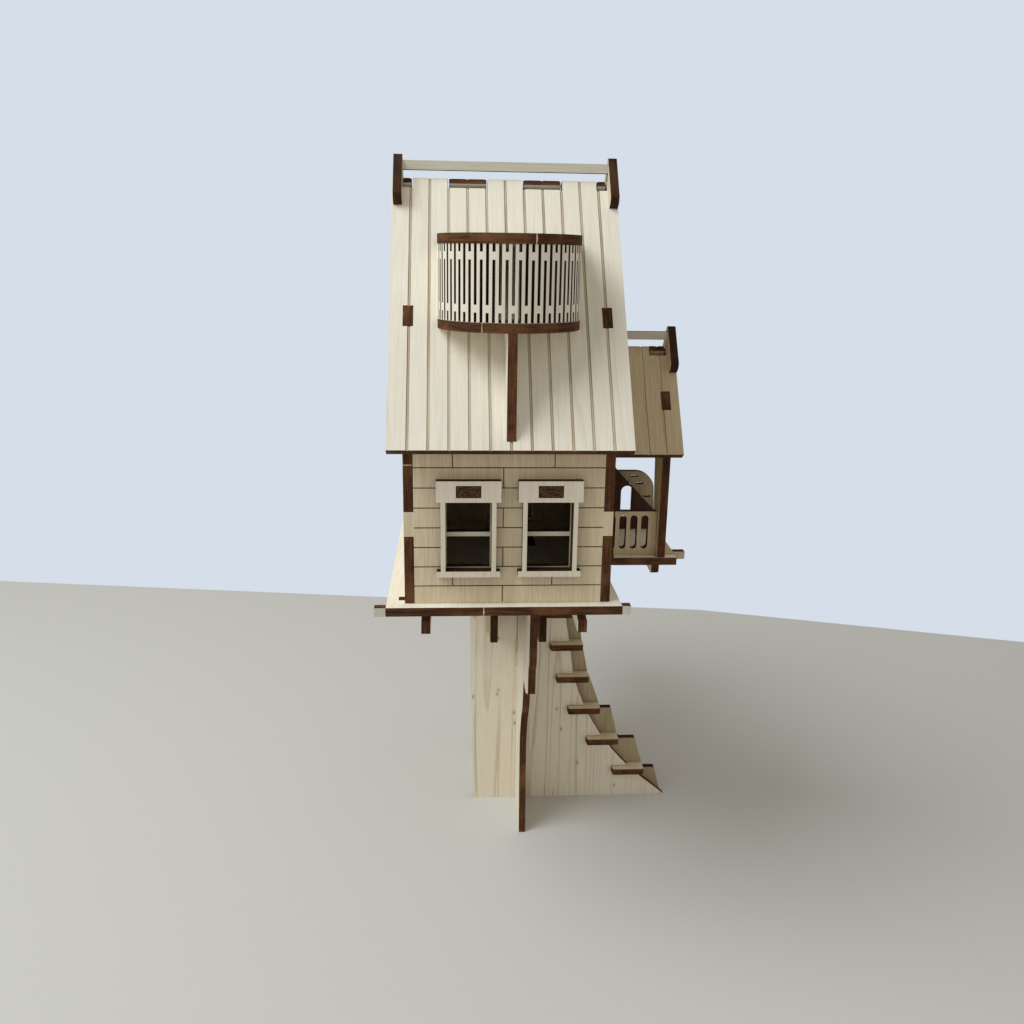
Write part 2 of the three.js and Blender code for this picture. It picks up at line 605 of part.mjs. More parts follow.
function roofPair(prefix, roof, fingers, slots) {
  const slotHoles = slots.map(([x0, x1]) => grown([x0, ROOF_SLOT[prefix][0], x1, ROOF_SLOT[prefix][1]]));
  const inner = new THREE.Vector3(0, ...onRoof(roof, 0, -PLY)).setZ(onRoof(roof, 0, -PLY)[1] + DECK_TOP);
  const frontSlope = new THREE.Group();
  frontSlope.rotation.x = PITCH;
  frontSlope.position.copy(inner);
  addMesh(`${prefix}_front`, sheet(panelOutline(roof, fingers, false), {
    holes: slotHoles, grooves: planks(roof),
  }), birch, frontSlope);
  const backSlope = new THREE.Group();
  backSlope.rotation.x = PITCH;
  backSlope.position.copy(inner);
  const backHalf = new THREE.Group();
  backHalf.rotation.z = Math.PI;
  backHalf.position.y = 2 * roof.mid;
  backHalf.add(backSlope);
  const flipped = panelOutline(roof, fingers, true).map(([x, y]) => [-x, y]).reverse();
  addMesh(`${prefix}_back`, sheet(flipped, {
    holes: slotHoles.map((hole) => hole.map(([x, y]) => [-x, y])), grooves: flipX(planks(roof)),
  }), birch, backSlope);
  house.add(frontSlope, backHalf);
}

const ROOF_SLOT = { roof: ROOF_TAB, porch_roof: [18.3, 25.7] };

// The horn is a chevron that sits astride the ridge and holds the ridge bar.
function horn(name, roof, x) {
  const along = slopeLength(roof) - HORN_LEG;
  const toe = [[0, SEAT], [0.2, HORN_BAND - 1.6], [1.6, HORN_BAND]].map(
    ([further, out]) => onRoof(roof, along + further, out),
  );
  const peak = (out) => [roof.mid, apexOf(roof) + out / Math.cos(PITCH)];
  const nearPeak = onRoof(roof, slopeLength(roof) + HORN_BAND * Math.tan(PITCH) - 1.2, HORN_BAND);
  const outer = [...toe, nearPeak];
  const outline = [...outer, ...mirrored(roof, outer), peak(SEAT)];
  const barZ = apexOf(roof) + BAR_RISE;
  const hole = rectangle(roof.mid - PLY / 2, barZ - PLY / 2, roof.mid + PLY / 2, barZ + PLY / 2);
  const socket = [[hole[0][0] - GAP, hole[0][1] - GAP], [hole[1][0] + GAP, hole[1][1] - GAP],
    [hole[2][0] + GAP, hole[2][1] + GAP], [hole[3][0] - GAP, hole[3][1] + GAP]];
  addPlate(name, 'side', x, lift(outline), { holes: [lift(socket)] });
}

function ridgeBar(name, roof, x0, x1) {
  const z = apexOf(roof) + BAR_RISE - PLY / 2;
  addPlate(name, 'front', roof.mid - PLY / 2, lift(rectangle(x0, z, x1, z + PLY)));
}

function mainRoof() {
  roofPair('roof', MAIN_ROOF, MAIN_FINGERS, GABLE_SLOTS);
  const [left, right] = HORNS;
  horn('ridge_horn_left', MAIN_ROOF, left);
  horn('ridge_horn_right', MAIN_ROOF, right);
  ridgeBar('ridge_bar', MAIN_ROOF, left, right + PLY);
}

// ---- Bay on the front slope ----
function bayPlate(name, height) {
  const roofY = onRoof(MAIN_ROOF, 0, 0)[0] + (height - MAIN_ROOF.eaveZ) / Math.tan(PITCH);
  const back = Math.max(roofY - GAP, 0);
  const reach = Math.min(back - BAY.axisY, 0);
  const tuck = Math.asin(-reach / BAY.radius);
  const front = arcPoints(0, BAY.axisY, BAY.radius, Math.PI + tuck, 2 * Math.PI - tuck, 40);
  const sides = reach < 0 ? [] : [[BAY.radius, back], [-BAY.radius, back]];
  addPlate(name, 'floor', DECK_TOP + height, [...front, ...sides]);
}

// The screen is one sheet with slots from end to end, which lets it bend round the bay. Each slot is left
// uncut for a short way, in turn near the top and near the bottom.
function bayScreen() {
  const outer = SCREEN.radius;
  const inner = outer - PLY;
  const rear = FAR / 4;
  const outline = [
    ...arcPoints(0, BAY.axisY, outer, Math.PI, 2 * Math.PI, 96), [outer, rear], [inner, rear],
    ...arcPoints(0, BAY.axisY, inner, 2 * Math.PI, Math.PI, 64), [-inner, rear], [-outer, rear],
  ];
  const bottom = BAY.floor + PLY + SEAT;
  const top = BAY.top - SEAT;
  const roofFace = new THREE.BoxGeometry(FAR, FAR, FAR)
    .translate(0, FAR / 2, -FAR / 2 + GAP)
    .rotateX(PITCH)
    .translate(0, MAIN_ROOF.eaveY, MAIN_ROOF.eaveZ);
  const slotTool = (angle, z0, z1) => box(
    [inner - 2, -SCREEN.slotWidth / 2, z0],
    [outer + 2, SCREEN.slotWidth / 2, z1],
  ).rotateZ(angle).translate(0, BAY.axisY, 0);
  const slots = Array.from({ length: SCREEN.slots }, (_, i) => {
    const angle = Math.PI + (Math.PI * (i + 1)) / (SCREEN.slots + 1);
    const bridge = i % 2 === 0 ? BRIDGES.high : BRIDGES.low;
    const [low, high] = bridge.map((share) => bottom + share * (top - bottom));
    return [slotTool(angle, bottom - 1, low), slotTool(angle, high, top + 1)];
  }).flat();
  const geometry = cut(prism(outline, bottom, top), [roofFace, ...slots]);
  addMesh('bay_screen', geometry.translate(0, 0, DECK_TOP));
}

function bay() {
  bayPlate('bay_floor', BAY.floor);
  bayPlate('bay_top', BAY.top);
  bayScreen();
  const front = BAY.axisY - BAY.radius;
  const top = BAY.floor - SEAT;
  const roofZ = (y) => MAIN_ROOF.eaveZ + (y - MAIN_ROOF.eaveY) * Math.tan(PITCH) + GAP;
  const back = MAIN_ROOF.eaveY + (top - GAP - MAIN_ROOF.eaveZ) / Math.tan(PITCH);
  const outline = [[BAY.bracketFoot, roofZ(BAY.bracketFoot)], [back, top], [front, top]];
  const crack = [8.4, DECK_TOP + 76, 8.8, DECK_TOP + 84];
  addPlate('bay_bracket', 'side', -PLY / 2, lift(outline), { grooves: [crack], grooveFace: 0 });
}

// ---- Porch ----
function railSlots(from, count) {
  return Array.from({ length: count }, (_, i) => {
    const x = from + i * RAIL.pitch;
    return lift(roundSlot(x, RAIL.bottom, RAIL.top, RAIL.slot));
  });
}

const FRONT_RAIL_Y = 54.2;

function porchRails() {
  const wall = HOUSE.half + GAP;
  const post = PORCH.end - GAP;
  const hook = [
    [post, PORCH.railTop], [post, 6.6], [PORCH.end + PLY, 6.6], [PORCH.right - 0.6, 1.1],
    [72, 1.1], [72, -1.9], [PORCH.right + GAP, -1.9], [PORCH.right + GAP, SEAT], [wall, SEAT],
    [wall, PORCH.railTop],
  ];
  addPlate('porch_front_rail', 'front', FRONT_RAIL_Y, lift(hook.reverse()), {
    holes: railSlots(38.6, 5),
  });
  addPlate('porch_back_rail', 'front', 88.8, lift([
    [wall, SEAT], [PORCH.right, SEAT], [PORCH.right, 7.2], [50.8, 25.2], [wall, 25.2],
  ]), { holes: [lift(archOpening(54.9, 4, 19, 5))], material: darkBirch });
  const corner = arcPoints(59, 16.5, 8, 0, Math.PI / 2, 8);
  const dashes = [[58.4, 22.4], [60.8, 19.2], [64.3, 13.6]].map(
    ([x, z]) => rectangle(x - 1.5, z - 0.4, x + 1.5, z + 0.4),
  );
  const openings = [...dashes, archOpening(54.9, 4, 19.8, 6)];
  addPlate('porch_back_screen', 'front', 92.2, lift([
    [wall, SEAT], [PORCH.right, SEAT], ...corner, [wall, 24.5],
  ]), { holes: openings.map((hole) => lift(hole)), material: shadedBirch });
}

// One plate makes the front post and the gable under the porch roof.
function porchEnd() {
  const under = -PLY - SEAT;
  const low = onRoof(PORCH_ROOF, 0, under);
  const [tabLow, tabHigh] = ROOF_SLOT.porch_roof;
  const roofZ = (y) => low[1] + (y - low[0]) * Math.tan(PITCH);
  const postFront = 50.6;
  const postBack = [[63.9, 38], [62.4, 26], [60.4, 16], [58.4, 6.8]]; // the post widens upwards
  const beam = 41.5;
  const tabs = [
    onRoof(PORCH_ROOF, tabLow, under), onRoof(PORCH_ROOF, tabLow, -SEAT),
    onRoof(PORCH_ROOF, tabHigh, -SEAT), onRoof(PORCH_ROOF, tabHigh, under),
  ];
  const outline = [
    [postFront, SEAT], [postFront, roofZ(postFront)], ...tabs, [PORCH_ROOF.mid, roofZ(PORCH_ROOF.mid)],
    ...mirrored(PORCH_ROOF, tabs), [2 * PORCH_ROOF.mid - postFront, roofZ(postFront)],
    [2 * PORCH_ROOF.mid - postFront, beam], [postBack[0][0], beam], ...postBack, [FRONT_RAIL_Y - GAP, 6.8],
    [FRONT_RAIL_Y - GAP, SEAT], [POST_TAB[1], SEAT], [POST_TAB[1], -PLY + SEAT],
    [POST_TAB[0], -PLY + SEAT], [POST_TAB[0], SEAT],
  ];
  addPlate('porch_end_frame', 'side', PORCH.end, lift(outline));
}

function porchRoof() {
  roofPair('porch_roof', PORCH_ROOF, PORCH_FINGERS, [[PORCH.end, PORCH.end + PLY]]);
  horn('porch_horn', PORCH_ROOF, 63.9);
  ridgeBar('porch_ridge_bar', PORCH_ROOF, HOUSE.half + GAP, 66.9);
}

// ---- Terrace behind the house ----
function terraceRails() {
  const back = DECK.back - PLY - GAP;
  const [leftFrom, rightFrom] = [110, 134];
  const firstSlot = 5;
  const rail = (from, to) => lift(rectangle(from, SEAT, to, PORCH.railTop));
  addPlate('terrace_rail_left', 'side', DECK.left, rail(leftFrom, back), {
    holes: railSlots(leftFrom + firstSlot, 24),
  });
  addPlate('terrace_rail_right', 'side', DECK.right - PLY, rail(rightFrom, back), {
    holes: railSlots(rightFrom + firstSlot, 18),
  });
  addPlate('terrace_rail_back', 'front', DECK.back - PLY, rail(DECK.left, DECK.right), {
    holes: railSlots(DECK.left + firstSlot, 17),
  });
}

// ---- Assembly ----
trunkPlates();
trunkCrossPlate();
stair();
joist('joist_left', JOIST_X.left, 212, JOIST_DEPTH);
joist('joist_right', JOIST_X.right, FACE_Y - GAP, JOIST_DEPTH);
corbel('corbel_left', -3.4);
corbel('corbel_right', 16.3);
crossBeam();
mainDeck();
porchDeck();
cornerPegs();
crossWalls();
gableWalls();
windows();
door('porch_door', PORCH_DOOR);
door('back_door', BACK_DOOR);
mainRoof();
bay();
porchRails();
porchEnd();
porchRoof();
terraceRails();

// The origin is the middle of the base: the centre of the model's box in plan, on the ground.
const bounds = new THREE.Box3().setFromObject(house);
const centre = bounds.getCenter(new THREE.Vector3());
house.position.set(-centre.x, -centre.y, -bounds.min.z);
house.updateMatrixWorld(true);

export default house;
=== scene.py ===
# Looks for the plywood tree house: bare birch sheet with laser-burnt edges and engraved lines.
import math

import bpy
from mathutils import Matrix, Vector


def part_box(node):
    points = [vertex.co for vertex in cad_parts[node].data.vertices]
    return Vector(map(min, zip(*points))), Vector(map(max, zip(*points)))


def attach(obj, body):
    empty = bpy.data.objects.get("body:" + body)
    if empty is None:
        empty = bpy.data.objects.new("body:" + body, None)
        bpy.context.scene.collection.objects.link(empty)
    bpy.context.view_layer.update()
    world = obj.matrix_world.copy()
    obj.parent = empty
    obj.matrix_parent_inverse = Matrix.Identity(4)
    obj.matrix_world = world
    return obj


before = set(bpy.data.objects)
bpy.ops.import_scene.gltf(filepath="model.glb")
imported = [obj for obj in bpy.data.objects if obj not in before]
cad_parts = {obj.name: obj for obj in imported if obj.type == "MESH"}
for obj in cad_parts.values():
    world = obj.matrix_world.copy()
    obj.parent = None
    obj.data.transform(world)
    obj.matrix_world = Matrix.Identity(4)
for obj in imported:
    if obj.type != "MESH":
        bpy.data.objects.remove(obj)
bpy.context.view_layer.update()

MM = 0.001
SHEET = 3 * MM
PITCH = math.radians(55)
PLANK_PITCH = 6.458 * MM
DEPTH_TOLERANCE = 0.06 * MM
DEEPEST_ENGRAVING = 0.45 * MM
BEND_TOLERANCE = 0.25 * MM  # how far the bent screen's flat facets stray from its true curve

# ---- Where the sheets lie ----
# Every plate is flat, so its faces are told from its edges by their direction. The first vector is the way
# the sheet faces, the second the way its grain runs.
FRONT = ((0, -1, 0), (0, 0, 1))
SIDE = ((-1, 0, 0), (0, 0, 1))
FLOOR = ((0, 0, 1), (0, 1, 0))
SLOPE_FRONT = ((0, -math.sin(PITCH), math.cos(PITCH)), (0, math.cos(PITCH), math.sin(PITCH)))
SLOPE_BACK = ((0, math.sin(PITCH), math.cos(PITCH)), (0, -math.cos(PITCH), math.sin(PITCH)))
FLOOR_CROSS = ((0, 0, 1), (1, 0, 0))
FRONT_CROSS = ((0, -1, 0), (1, 0, 0))


# ---- Node helpers ----
class Nodes:
    """Adds nodes to a material one at a time and wires them by socket name."""

    def __init__(self, material):
        material.use_nodes = True
        self.tree = material.node_tree
        self.tree.nodes.clear()
        self.output = self.tree.nodes.new("ShaderNodeOutputMaterial")

    def add(self, kind, settings=None, **inputs):
        node = self.tree.nodes.new(kind)
        for name, value in (settings or {}).items():
            setattr(node, name, value)
        for name, value in inputs.items():
            self.put(node.inputs[name.replace("_", " ")], value)
        return node

    def put(self, socket, value):
        if isinstance(value, bpy.types.NodeSocket):
            self.tree.links.new(value, socket)
        else:
            socket.default_value = value

    def math(self, operation, a, b=0.0):
        node = self.add("ShaderNodeMath", {"operation": operation})
        self.put(node.inputs[0], a)
        self.put(node.inputs[1], b)
        return node.outputs[0]

    def remap(self, value, low, high, out_low=0.0, out_high=1.0):
        node = self.add("ShaderNodeMapRange", {"interpolation_type": "SMOOTHSTEP"}, Value=value)
        self.put(node.inputs["From Min"], low)
        self.put(node.inputs["From Max"], high)
        self.put(node.inputs["To Min"], out_low)
        self.put(node.inputs["To Max"], out_high)
        return node.outputs["Result"]

    def mix(self, factor, a, b):
        node = self.add("ShaderNodeMix", {"data_type": "RGBA", "blend_type": "MIX"})
        self.put(node.inputs[0], factor)
        self.put(node.inputs[6], a)
        self.put(node.inputs[7], b)
        return node.outputs[2]

    def noise(self, vector, scale, detail=2.0, distortion=0.0):
        settings = {"Vector": vector, "Scale": scale, "Detail": detail, "Distortion": distortion}
        return self.add("ShaderNodeTexNoise", **settings).outputs["Fac"]

    def bump(self, height, strength, distance):
        node = self.add("ShaderNodeBump", Height=height, Strength=strength, Distance=distance)
        return node.outputs["Normal"]


def sheet_axes(lie):
    """The turn that brings the sheet's grain onto Z and its facing onto Y."""
    facing, grain = (Vector(v).normalized() for v in lie)
    across = grain.cross(facing).normalized() * -1
    return Matrix((across, facing, grain)).to_euler()


def grain_space(nodes, lie, stretch):
    """Object coordinates turned to the sheet, moved by a different amount for each piece, and drawn out
    along the grain. The unit is a millimetre."""
    place = nodes.add("ShaderNodeTexCoord").outputs["Object"]
    turned = nodes.add("ShaderNodeMapping", {"vector_type": "POINT"}, Vector=place, Scale=(1 / MM,) * 3)
    turned.inputs["Rotation"].default_value = sheet_axes(lie)
    own = nodes.math("MULTIPLY", nodes.add("ShaderNodeObjectInfo").outputs["Random"], 700.0)
    moved = nodes.add("ShaderNodeVectorMath", {"operation": "ADD"})
    nodes.put(moved.inputs[0], turned.outputs[0])
    nodes.put(moved.inputs[1], nodes.add("ShaderNodeCombineXYZ", X=own, Z=own).outputs[0])
    drawn = nodes.add("ShaderNodeVectorMath", {"operation": "MULTIPLY"})
    nodes.put(drawn.inputs[0], moved.outputs[0])
    drawn.inputs[1].default_value = (1.0, 1.0, 1.0 / stretch)
    return moved.outputs[0], drawn.outputs[0]


def shader(nodes, colour, roughness, normal, specular):
    surface = nodes.add("ShaderNodeBsdfPrincipled")
    nodes.put(surface.inputs["Base Color"], colour)
    nodes.put(surface.inputs["Roughness"], roughness)
    nodes.put(surface.inputs["Normal"], normal)
    surface.inputs["Specular IOR Level"].default_value = specular
    nodes.tree.links.new(surface.outputs[0], nodes.output.inputs["Surface"])


def rgba(red, green, blue):
    """A colour given as it looks on screen, from 0 to 255, made linear."""
    shares = [c / 255 for c in (red, green, blue)]
    linear = [share / 12.92 if share <= 0.04045 else ((share + 0.055) / 1.055) ** 2.4 for share in shares]
    return (*linear, 1.0)


# ---- Materials ----
def scaled(nodes, vector, x, y, z):
    node = nodes.add("ShaderNodeVectorMath", {"operation": "MULTIPLY"})
    nodes.put(node.inputs[0], vector)
    node.inputs[1].default_value = (x, y, z)
    return node.outputs[0]


def growth_lines(nodes, moved, bands, width):
    """Thin lines that run with the grain and wander a little, like the edges of growth rings."""
    wander = nodes.noise(scaled(nodes, moved, 1.0, 0.3, 0.034), 0.05, 2.0, 0.2)
    rings = nodes.math("FRACT", nodes.math("MULTIPLY", wander, bands))
    return nodes.math("MULTIPLY", nodes.remap(rings, 1.0 - width, 0.97), nodes.remap(rings, 1.0, 0.97))


def knot_marks(nodes, moved):
    """A few small dark knots, longer along the grain, with ragged edges and a soft halo."""
    parts = nodes.add("ShaderNodeSeparateXYZ", Vector=moved)
    along = nodes.math("MULTIPLY", parts.outputs["Z"], 0.6)
    flat = nodes.add("ShaderNodeCombineXYZ", X=parts.outputs["X"], Y=along).outputs[0]
    spots = nodes.add("ShaderNodeTexVoronoi", {"feature": "F1", "voronoi_dimensions": "2D"}, Vector=flat)
    spots.inputs["Scale"].default_value = 0.1
    own = nodes.add("ShaderNodeSeparateColor", Color=spots.outputs["Color"]).outputs[0]
    rare = nodes.math("GREATER_THAN", own, 0.64)
    ragged = nodes.math("MULTIPLY", nodes.math("SUBTRACT", nodes.noise(moved, 1.6, 2.0), 0.5), 0.14)
    distance = nodes.math("ADD", spots.outputs["Distance"], ragged)
    core = nodes.remap(distance, 0.07, 0.015)
    halo = nodes.math("MULTIPLY", nodes.remap(distance, 0.16, 0.03), 0.25)
    return nodes.math("MULTIPLY", nodes.math("MAXIMUM", core, halo), rare)


def make_veneer(name, lie, pale, deep, figure, knots):
    """Bare sanded birch face: fine fibres, short pores, slow colour drift and faint growth lines."""
    material = bpy.data.materials.new(name)
    nodes = Nodes(material)
    moved, drawn = grain_space(nodes, lie, 26.0)
    fibre = nodes.noise(drawn, 2.2, 5.0)
    pores = nodes.remap(nodes.noise(drawn, 5.5, 2.0), 0.60, 0.76)
    drift = nodes.noise(scaled(nodes, moved, 1.0, 1.0, 0.3), 0.05, 3.0)
    dark = tuple(c * k for c, k in zip(deep, (0.60, 0.49, 0.36, 1.0)))
    tone = nodes.mix(nodes.remap(fibre, 0.28, 0.72), deep, pale)
    tone = nodes.mix(nodes.math("MULTIPLY", nodes.remap(drift, 0.36, 0.68), 0.45), tone, deep)
    patches = nodes.noise(moved, 0.03, 2.0)
    strength = nodes.math("MULTIPLY", nodes.remap(patches, 0.35, 0.65, 0.3, 1.0), figure)
    lines = growth_lines(nodes, moved, 15.0, 0.34)
    tone = nodes.mix(nodes.math("MULTIPLY", lines, strength), tone, dark)
    tone = nodes.mix(nodes.math("MULTIPLY", pores, 0.16), tone, dark)
    if knots > 0:
        tone = nodes.mix(nodes.math("MULTIPLY", knot_marks(nodes, moved), knots), tone, rgba(96, 66, 40))
    height = nodes.math("SUBTRACT", nodes.math("MULTIPLY", fibre, 0.6), nodes.math("MULTIPLY", pores, 0.5))
    roughness = nodes.remap(fibre, 0.2, 0.8, 0.62, 0.8)
    shader(nodes, tone, roughness, nodes.bump(height, 0.4, 0.05 * MM), 0.2)
    return material


def make_burnt(name, lie, dark, warm, core):
    """Laser-cut edge: brown char with streaks along the plies and fine lines across the sheet."""
    material = bpy.data.materials.new(name)
    nodes = Nodes(material)
    moved, _ = grain_space(nodes, lie, 1.0)
    streak = nodes.noise(scaled(nodes, moved, 0.06, 1.9, 0.06), 1.5, 4.0)
    grit = nodes.noise(scaled(nodes, moved, 1.0, 1.6, 1.0), 3.4, 3.0)
    beam = nodes.noise(scaled(nodes, moved, 3.0, 0.25, 3.0), 1.6, 2.0)
    patch = nodes.noise(moved, 0.10, 3.0)
    tone = nodes.mix(nodes.remap(streak, 0.38, 0.66), dark, warm)
    tone = nodes.mix(nodes.math("MULTIPLY", nodes.remap(patch, 0.45, 0.70), 0.5), tone, core)
    tone = nodes.mix(nodes.math("MULTIPLY", nodes.remap(grit, 0.50, 0.72), 0.35), tone, core)
    tone = nodes.mix(nodes.math("MULTIPLY", nodes.remap(beam, 0.45, 0.7), 0.4), tone, dark)
    height = nodes.math("ADD", beam, nodes.math("MULTIPLY", streak, 0.7))
    shader(nodes, tone, nodes.remap(streak, 0.3, 0.7, 0.82, 0.95), nodes.bump(height, 0.6, 0.08 * MM), 0.12)
    return material


def make_engraved(name, lie, dark, light):
    """Floor and sides of an engraved line: scorched brown, a little uneven along its length."""
    material = bpy.data.materials.new(name)
    nodes = Nodes(material)
    moved, _ = grain_space(nodes, lie, 1.0)
    uneven = nodes.noise(moved, 0.5, 3.0)
    dots = nodes.noise(moved, 5.0, 2.0)
    tone = nodes.mix(nodes.remap(uneven, 0.35, 0.66), dark, light)
    tone = nodes.mix(nodes.math("MULTIPLY", nodes.remap(dots, 0.5, 0.72), 0.3), tone, dark)
    shader(nodes, tone, nodes.remap(dots, 0.3, 0.7, 0.75, 0.92), nodes.bump(dots, 0.5, 0.05 * MM), 0.15)
    return material


def make_seam(name, lie, first):
    """The seam between two planks: a lightly toasted band with a thin brown line along each side."""
    material = bpy.data.materials.new(name)
    nodes = Nodes(material)
    moved, _ = grain_space(nodes, lie, 1.0)
    place = nodes.add("ShaderNodeTexCoord").outputs["Object"]
    x = nodes.add("ShaderNodeSeparateXYZ", Vector=place).outputs["X"]
    turns = nodes.math("DIVIDE", nodes.math("SUBTRACT", x, first), PLANK_PITCH)
    offset = nodes.math("SUBTRACT", turns, nodes.math("ROUND", turns))
    out = nodes.math("MULTIPLY", nodes.math("ABSOLUTE", offset), PLANK_PITCH / MM)
    line = nodes.math("MULTIPLY", nodes.remap(out, 0.24, 0.32), nodes.remap(out, 0.45, 0.40))
    uneven = nodes.noise(scaled(nodes, moved, 1.0, 1.0, 0.25), 0.12, 3.0)
    fleck = nodes.noise(moved, 4.0, 2.0)
    band = nodes.mix(nodes.remap(uneven, 0.35, 0.66), rgba(222, 210, 186), rgba(200, 182, 150))
    band = nodes.mix(nodes.math("MULTIPLY", nodes.remap(fleck, 0.5, 0.75), 0.3), band, rgba(150, 122, 88))
    weight = nodes.math("MULTIPLY", line, nodes.remap(uneven, 0.3, 0.7, 0.45, 0.9))
    tone = nodes.mix(weight, band, rgba(138, 112, 82))
    shader(nodes, tone, nodes.remap(fleck, 0.3, 0.7, 0.7, 0.9), nodes.bump(fleck, 0.4, 0.04 * MM), 0.15)
    return material


# The light and dark tone of each kind of birch sheet's face. Where a tone is darkened to paint in shade, its
# entry says so.
PALE = {
    "roof": (rgba(238, 233, 220), rgba(229, 221, 203)),
    "trim": (rgba(232, 224, 207), rgba(220, 209, 187)),
    # Greyer and darker than the roof, partly painted shade for the ridge bars' front faces.
    "bar": (rgba(214, 209, 196), rgba(200, 193, 177)),
    "deck": (rgba(246, 241, 229), rgba(237, 228, 210)),
    "wall": (rgba(230, 215, 186), rgba(212, 194, 162)),
    "trunk": (rgba(240, 233, 217), rgba(229, 218, 196)),
    # Darker, partly painted shade: it stands in for the shade on the stair stringer, back screen, corbels and
    # cross beam, and the doors share it.
    "inner": (rgba(192, 175, 144), rgba(168, 149, 119)),
    # Darker and browner, partly painted shade: it stands in for the shade on the porch rails, end frame and
    # porch roof.
    "porch": (rgba(214, 197, 163), rgba(193, 174, 140)),
    "smoked": (rgba(226, 216, 196), rgba(206, 190, 162)),
    # Near-black sheet of painted deep shade, given to the porch's back rail where only shade is seen.
    "stained": (rgba(88, 61, 44), rgba(58, 38, 26)),
}
FIGURE = {"trunk": 0.62, "inner": 0.4, "stained": 0.3}
PLAIN_FIGURE = 0.16
KNOTS = {"trunk": 0.62}
BURNT = (rgba(56, 34, 22), rgba(102, 66, 43), rgba(134, 93, 60))
CHARRED = (rgba(40, 25, 17), rgba(70, 45, 31), rgba(92, 62, 42))
CHAR = {"smoked": CHARRED, "inner": CHARRED, "trim": CHARRED}
made_sheets = {}


def sheet_materials(wood, lie):
    """The face, edge and engraving materials of one kind of sheet, made once."""
    key = (wood, lie)
    if key not in made_sheets:
        pale, deep = PALE[wood]
        figure = FIGURE.get(wood, PLAIN_FIGURE)
        tag = f"{wood}_{len(made_sheets)}"
        made_sheets[key] = (
            make_veneer(f"veneer_{tag}", lie, pale, deep, figure, KNOTS.get(wood, 0.0)),
            make_burnt(f"burnt_edge_{tag}", lie, *CHAR.get(wood, BURNT)),
            make_engraved(f"engraving_{tag}", lie, rgba(82, 56, 38), rgba(134, 104, 74)),
            make_engraved(f"engraving_side_{tag}", lie, rgba(62, 40, 26), rgba(108, 78, 52)),
        )
    return made_sheets[key]


FACE, EDGE, GROOVE, GROOVE_SIDE = range(4)


def kind_of(polygon, mesh, facing, low, high):
    """Whether a polygon is on the sheet's face, on its cut edge or in an engraved line."""
    depths = [mesh.vertices[i].co.dot(facing) for i in polygon.vertices]
    if abs(polygon.normal.dot(facing)) > 0.9:
        middle = sum(depths) / len(depths)
        on_face = min(middle - low, high - middle) < DEPTH_TOLERANCE
        return FACE if on_face else GROOVE
    shallow = max(depths) - min(depths) < DEEPEST_ENGRAVING
    return GROOVE_SIDE if shallow else EDGE


def sheet_faces(mesh, facing):
    """How far out the sheet's two faces are. A door's barrel stands out from its leaf, so the largest flat
    polygon gives one face, and the other is a sheet's thickness away, on the side with more flat area."""
    flat = [(p.center.dot(facing), p.area) for p in mesh.polygons if abs(p.normal.dot(facing)) > 0.9]
    first = max(flat, key=lambda item: item[1])[0]

    def area_at(depth):
        return sum(area for at, area in flat if abs(at - depth) < DEPTH_TOLERANCE)

    other = max((first - SHEET, first + SHEET), key=area_at)
    return min(first, other), max(first, other)


def give_slots(mesh, materials):
    mesh.materials.clear()
    for material in materials:
        mesh.materials.append(material)


def dress(node, wood, lie):
    """Gives a CAD plate its face, edge and engraving materials."""
    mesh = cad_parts[node].data
    give_slots(mesh, sheet_materials(wood, lie))
    facing = Vector(lie[0]).normalized()
    low, high = sheet_faces(mesh, facing)
    for polygon in mesh.polygons:
        polygon.material_index = kind_of(polygon, mesh, facing, low, high)


# ---- Which sheet each piece is cut from ----
SHEETS = {
    ("trunk", FRONT): ["trunk_face_plate", "trunk_rear_plate", "stair_stringer_rear"],
    ("trunk", SIDE): ["trunk_cross_plate", "joist_left", "joist_right", "porch_joist"],
    # These pieces get the darker inner tone, which is partly painted shade.
    ("inner", FRONT): ["stair_stringer_front", "porch_back_screen", "deck_cross_beam", "back_door"],
    ("inner", SIDE): ["corbel_left", "corbel_right", "porch_door"],
    ("deck", FLOOR): ["main_deck", "porch_deck", "bay_floor", "bay_top"],
    ("wall", FLOOR): ["porch_door_pivot_head", "back_door_pivot_head"],
    ("wall", FLOOR_CROSS): [f"stair_tread_{i}" for i in range(1, 9)],
    ("wall", FRONT): ["front_wall", "back_wall"],
    ("wall", SIDE): ["gable_wall_left", "gable_wall_right", "terrace_rail_left", "terrace_rail_right"],
    # The porch pieces get the darker porch tone, which is partly painted shade.
    ("porch", FRONT): ["porch_front_rail", "terrace_rail_back"],
    ("porch", SIDE): ["porch_end_frame"],
    ("smoked", SIDE): ["ridge_horn_left", "ridge_horn_right", "porch_horn"],
    ("trim", FRONT): ["window_trim_front_left", "window_trim_front_right"],
    ("trim", FRONT_CROSS): ["window_sash_front_left", "window_sash_front_right"],
    ("trim", SIDE): ["window_trim_right", "window_sash_right"],
    # The ridge bars and deck pegs get the bar tone, which is partly painted shade.
    ("bar", FRONT_CROSS): ["ridge_bar", "porch_ridge_bar"],
    ("bar", FRONT): ["deck_corner_peg_left", "deck_corner_peg_right"],
    ("roof", SIDE): ["bay_bracket"],
    ("roof", SLOPE_FRONT): ["roof_front"],
    ("roof", SLOPE_BACK): ["roof_back"],
    # The porch roof also gets the darker porch tone, partly painted shade.
    ("porch", SLOPE_FRONT): ["porch_roof_front"],
    ("porch", SLOPE_BACK): ["porch_roof_back"],
    # The porch's back rail gets the near-black tone of painted deep shade.
    ("stained", FRONT): ["porch_back_rail"],
}
for (wood, lie), names in SHEETS.items():
    for name in names:
        dress(name, wood, lie)


